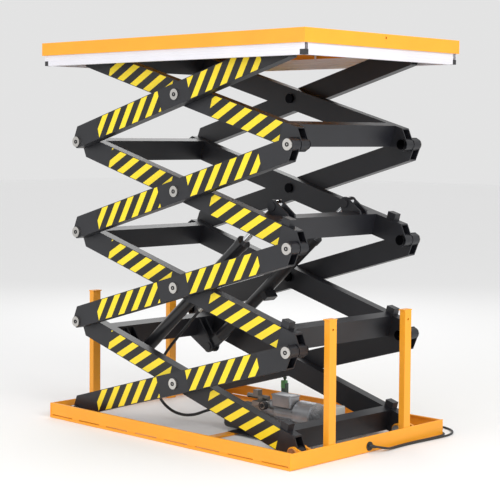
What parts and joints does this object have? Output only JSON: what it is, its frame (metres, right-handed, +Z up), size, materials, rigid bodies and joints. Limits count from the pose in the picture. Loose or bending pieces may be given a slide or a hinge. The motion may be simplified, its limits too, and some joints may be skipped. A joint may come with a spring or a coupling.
{
  "type": "scissor lift table",
  "caption": "Electro-hydraulic lift table: a steel platform on stacked scissor arms, raised by a pair of cylinders from a frame base with corner posts.",
  "frame": {"origin": "on the floor under the middle of the base and of the platform", "axes": "+X along the table towards its fixed pivots and cable outlet, +Y towards the far long side, +Z up"},
  "size_m": [1.7, 1.1895, 1.8139],
  "materials": {
    "yellow_orange_paint": "satin powder coat",
    "black_arm_paint": "satin powder coat",
    "pin_steel": "bright zinc",
    "roller_steel": "machined",
    "black_cylinder_paint": "satin paint",
    "rod_chrome": "polished",
    "frame_aluminium": "anodised",
    "black_corner_plastic": "moulded",
    "motor_silver": "silver painted casting",
    "fan_plastic": "moulded",
    "valve_steel": "zinc plated",
    "tank_plastic": "moulded",
    "black_plate_paint": "satin",
    "grey_box_paint": "textured",
    "switch_plastic": "moulded",
    "gland_rubber": "moulded",
    "hose_rubber": "smooth",
    "lead_rubber": "smooth",
    "plug_plastic": "moulded",
    "control_yellow": "moulded",
    "button_black": "moulded",
    "button_red": "moulded"
  },
  "bodies": {
    "inner_1": {"barrel_brackets": "black_arm_paint", "inner_arms_1": "black_arm_paint", "inner_cross_tubes_1": "black_arm_paint"},
    "base": {"base_cross_bars": "yellow_orange_paint", "base_end_plates": "yellow_orange_paint", "base_pivot_pins": "pin_steel", "base_side_rails": "yellow_orange_paint", "cable_gland": "gland_rubber", "control_box": "grey_box_paint", "control_case": "control_yellow", "control_coil": "lead_rubber", "control_lead": "lead_rubber", "hydraulic_hose": "hose_rubber", "limit_switch": "switch_plastic", "motor_fan_cover": "motor_silver", "motor_housing": "motor_silver", "motor_terminal_box": "motor_silver", "oil_tank": "tank_plastic", "power_unit_plate": "black_plate_paint", "pump_and_valves": "valve_steel", "supply_coil": "lead_rubber", "supply_lead": "lead_rubber", "supply_plug": "plug_plastic", "support_posts": "yellow_orange_paint"},
    "outer_1": {"base_roller_axles": "pin_steel", "outer_arms_1": "black_arm_paint", "pivot_pins_1": "pin_steel"},
    "base_roller_far": {"base_roller_far": "roller_steel"},
    "base_roller_near": {"base_roller_near": "roller_steel"},
    "barrel_far": {"cylinder_barrel_far": "black_cylinder_paint"},
    "barrel_near": {"cylinder_barrel_near": "black_cylinder_paint"},
    "rod_far": {"cylinder_rod_far": "rod_chrome"},
    "rod_near": {"cylinder_rod_near": "rod_chrome"},
    "down_button": {"down_button": "button_black"},
    "inner_2": {"inner_arms_2": "black_arm_paint", "inner_cross_tubes_2": "black_arm_paint"},
    "inner_3": {"inner_arms_3": "black_arm_paint", "inner_cross_tubes_3": "black_arm_paint", "rod_brackets": "black_arm_paint"},
    "inner_4": {"inner_arms_4": "black_arm_paint", "inner_cross_tubes_4": "black_arm_paint", "platform_roller_axles": "pin_steel"},
    "motor_fan": {"motor_fan": "fan_plastic"},
    "outer_2": {"outer_arms_2": "black_arm_paint", "pivot_pins_2": "pin_steel"},
    "outer_3": {"outer_arms_3": "black_arm_paint", "pivot_pins_3": "pin_steel"},
    "outer_4": {"outer_arms_4": "black_arm_paint", "pivot_pins_4": "pin_steel"},
    "platform": {"platform_deck": "yellow_orange_paint", "platform_edge_frame": "yellow_orange_paint", "platform_pivot_pins": "pin_steel", "platform_roller_tracks": "yellow_orange_paint", "platform_underframe": "yellow_orange_paint"},
    "platform_roller_far": {"platform_roller_far": "roller_steel"},
    "platform_roller_near": {"platform_roller_near": "roller_steel"},
    "safety_frame": {"safety_frame_corners": "black_corner_plastic", "safety_frame_profiles": "frame_aluminium"},
    "stop_button": {"stop_button": "button_red"},
    "up_button": {"up_button": "button_black"}
  },
  "joints": [
    {"name": "lift", "type": "hinge", "parent": "base", "child": "inner_1", "pos_m": [0.682, 0, 0.034], "axis": [0, 1, 0], "range_deg": [-12.2, 26.5], "deforming": ["hydraulic_hose"]},
    {"name": "centre_pivot_1", "type": "hinge", "parent": "inner_1", "child": "outer_1", "pos_m": [-0.00689, 0, 0.25174], "axis": [0, 1, 0], "range_deg": [-53.05, 24.45]},
    {"name": "end_pivot_1", "type": "hinge", "parent": "outer_1", "child": "inner_2", "pos_m": [0.682, 0, 0.46947], "axis": [0, 1, 0], "range_deg": [-24.45, 53.05]},
    {"name": "centre_pivot_2", "type": "hinge", "parent": "inner_2", "child": "outer_2", "pos_m": [-0.00689, 0, 0.68721], "axis": [0, 1, 0], "range_deg": [-53.05, 24.45]},
    {"name": "end_pivot_2", "type": "hinge", "parent": "outer_2", "child": "inner_3", "pos_m": [0.682, 0, 0.90495], "axis": [0, 1, 0], "range_deg": [-24.45, 53.05]},
    {"name": "centre_pivot_3", "type": "hinge", "parent": "inner_3", "child": "outer_3", "pos_m": [-0.00689, 0, 1.12268], "axis": [0, 1, 0], "range_deg": [-53.05, 24.45]},
    {"name": "end_pivot_3", "type": "hinge", "parent": "outer_3", "child": "inner_4", "pos_m": [0.682, 0, 1.34042], "axis": [0, 1, 0], "range_deg": [-24.45, 53.05]},
    {"name": "centre_pivot_4", "type": "hinge", "parent": "inner_4", "child": "outer_4", "pos_m": [-0.00689, 0, 1.55816], "axis": [0, 1, 0], "range_deg": [-53.05, 24.45]},
    {"name": "platform_pivot", "type": "hinge", "parent": "outer_4", "child": "platform", "pos_m": [0.682, 0, 1.77589], "axis": [0, 1, 0], "range_deg": [-12.25, 26.55]},
    {"name": "barrel_pivot_near", "type": "hinge", "parent": "inner_1", "child": "barrel_near", "pos_m": [-0.4542, -0.245, 0.3068], "axis": [0, 1, 0], "range_deg": [-53.05, 24.45]},
    {"name": "rod_stroke_near", "type": "slide", "parent": "barrel_near", "child": "rod_near", "axis": [0.7618, 0, 0.6478], "range_m": [-0.22254, 0.48281]},
    {"name": "barrel_pivot_far", "type": "hinge", "parent": "inner_1", "child": "barrel_far", "pos_m": [-0.4542, 0.245, 0.3068], "axis": [0, 1, 0], "range_deg": [-53.05, 24.45]},
    {"name": "rod_stroke_far", "type": "slide", "parent": "barrel_far", "child": "rod_far", "axis": [0.7618, 0, 0.6478], "range_m": [-0.22254, 0.48281]},
    {"name": "base_roller_near_spin", "type": "hinge", "parent": "outer_1", "child": "base_roller_near", "pos_m": [-0.69579, -0.458, 0.034], "axis": [0, 1, 0], "continuous": true},
    {"name": "platform_roller_near_spin", "type": "hinge", "parent": "inner_4", "child": "platform_roller_near", "pos_m": [-0.69579, -0.458, 1.77589], "axis": [0, 1, 0], "continuous": true},
    {"name": "base_roller_far_spin", "type": "hinge", "parent": "outer_1", "child": "base_roller_far", "pos_m": [-0.69579, 0.458, 0.034], "axis": [0, 1, 0], "continuous": true},
    {"name": "platform_roller_far_spin", "type": "hinge", "parent": "inner_4", "child": "platform_roller_far", "pos_m": [-0.69579, 0.458, 1.77589], "axis": [0, 1, 0], "continuous": true},
    {"name": "safety_frame_lift", "type": "slide", "parent": "platform", "child": "safety_frame", "axis": [0, 0, 1], "range_m": [0, 0.012], "stiffness_N_per_m": 1500, "springref_m": -0.01},
    {"name": "up_button_press", "type": "slide", "parent": "base", "child": "up_button", "axis": [0, 0, -1], "range_m": [0, 0.003], "stiffness_N_per_m": 300},
    {"name": "down_button_press", "type": "slide", "parent": "base", "child": "down_button", "axis": [0, 0, -1], "range_m": [0, 0.003], "stiffness_N_per_m": 300},
    {"name": "stop_button_press", "type": "slide", "parent": "base", "child": "stop_button", "axis": [0, 0, -1], "range_m": [0, 0.003], "stiffness_N_per_m": 300},
    {"name": "motor_fan_spin", "type": "hinge", "parent": "base", "child": "motor_fan", "pos_m": [0.445, -0.045, 0.117], "axis": [1, 0, 0], "continuous": true}
  ],
  "couplings": [
    {"joint": "centre_pivot_1", "follows": "lift", "ratio": -2},
    {"joint": "end_pivot_1", "follows": "lift", "ratio": 2},
    {"joint": "centre_pivot_2", "follows": "lift", "ratio": -2},
    {"joint": "end_pivot_2", "follows": "lift", "ratio": 2},
    {"joint": "centre_pivot_3", "follows": "lift", "ratio": -2},
    {"joint": "end_pivot_3", "follows": "lift", "ratio": 2},
    {"joint": "centre_pivot_4", "follows": "lift", "ratio": -2},
    {"joint": "platform_pivot", "follows": "lift", "ratio": 1},
    {"joint": "barrel_pivot_near", "follows": "lift", "ratio": -2},
    {"joint": "rod_stroke_near", "follows": "lift", "m_per_rad": 1.0428},
    {"joint": "barrel_pivot_far", "follows": "lift", "ratio": -2},
    {"joint": "rod_stroke_far", "follows": "lift", "m_per_rad": 1.0428}
  ]
}
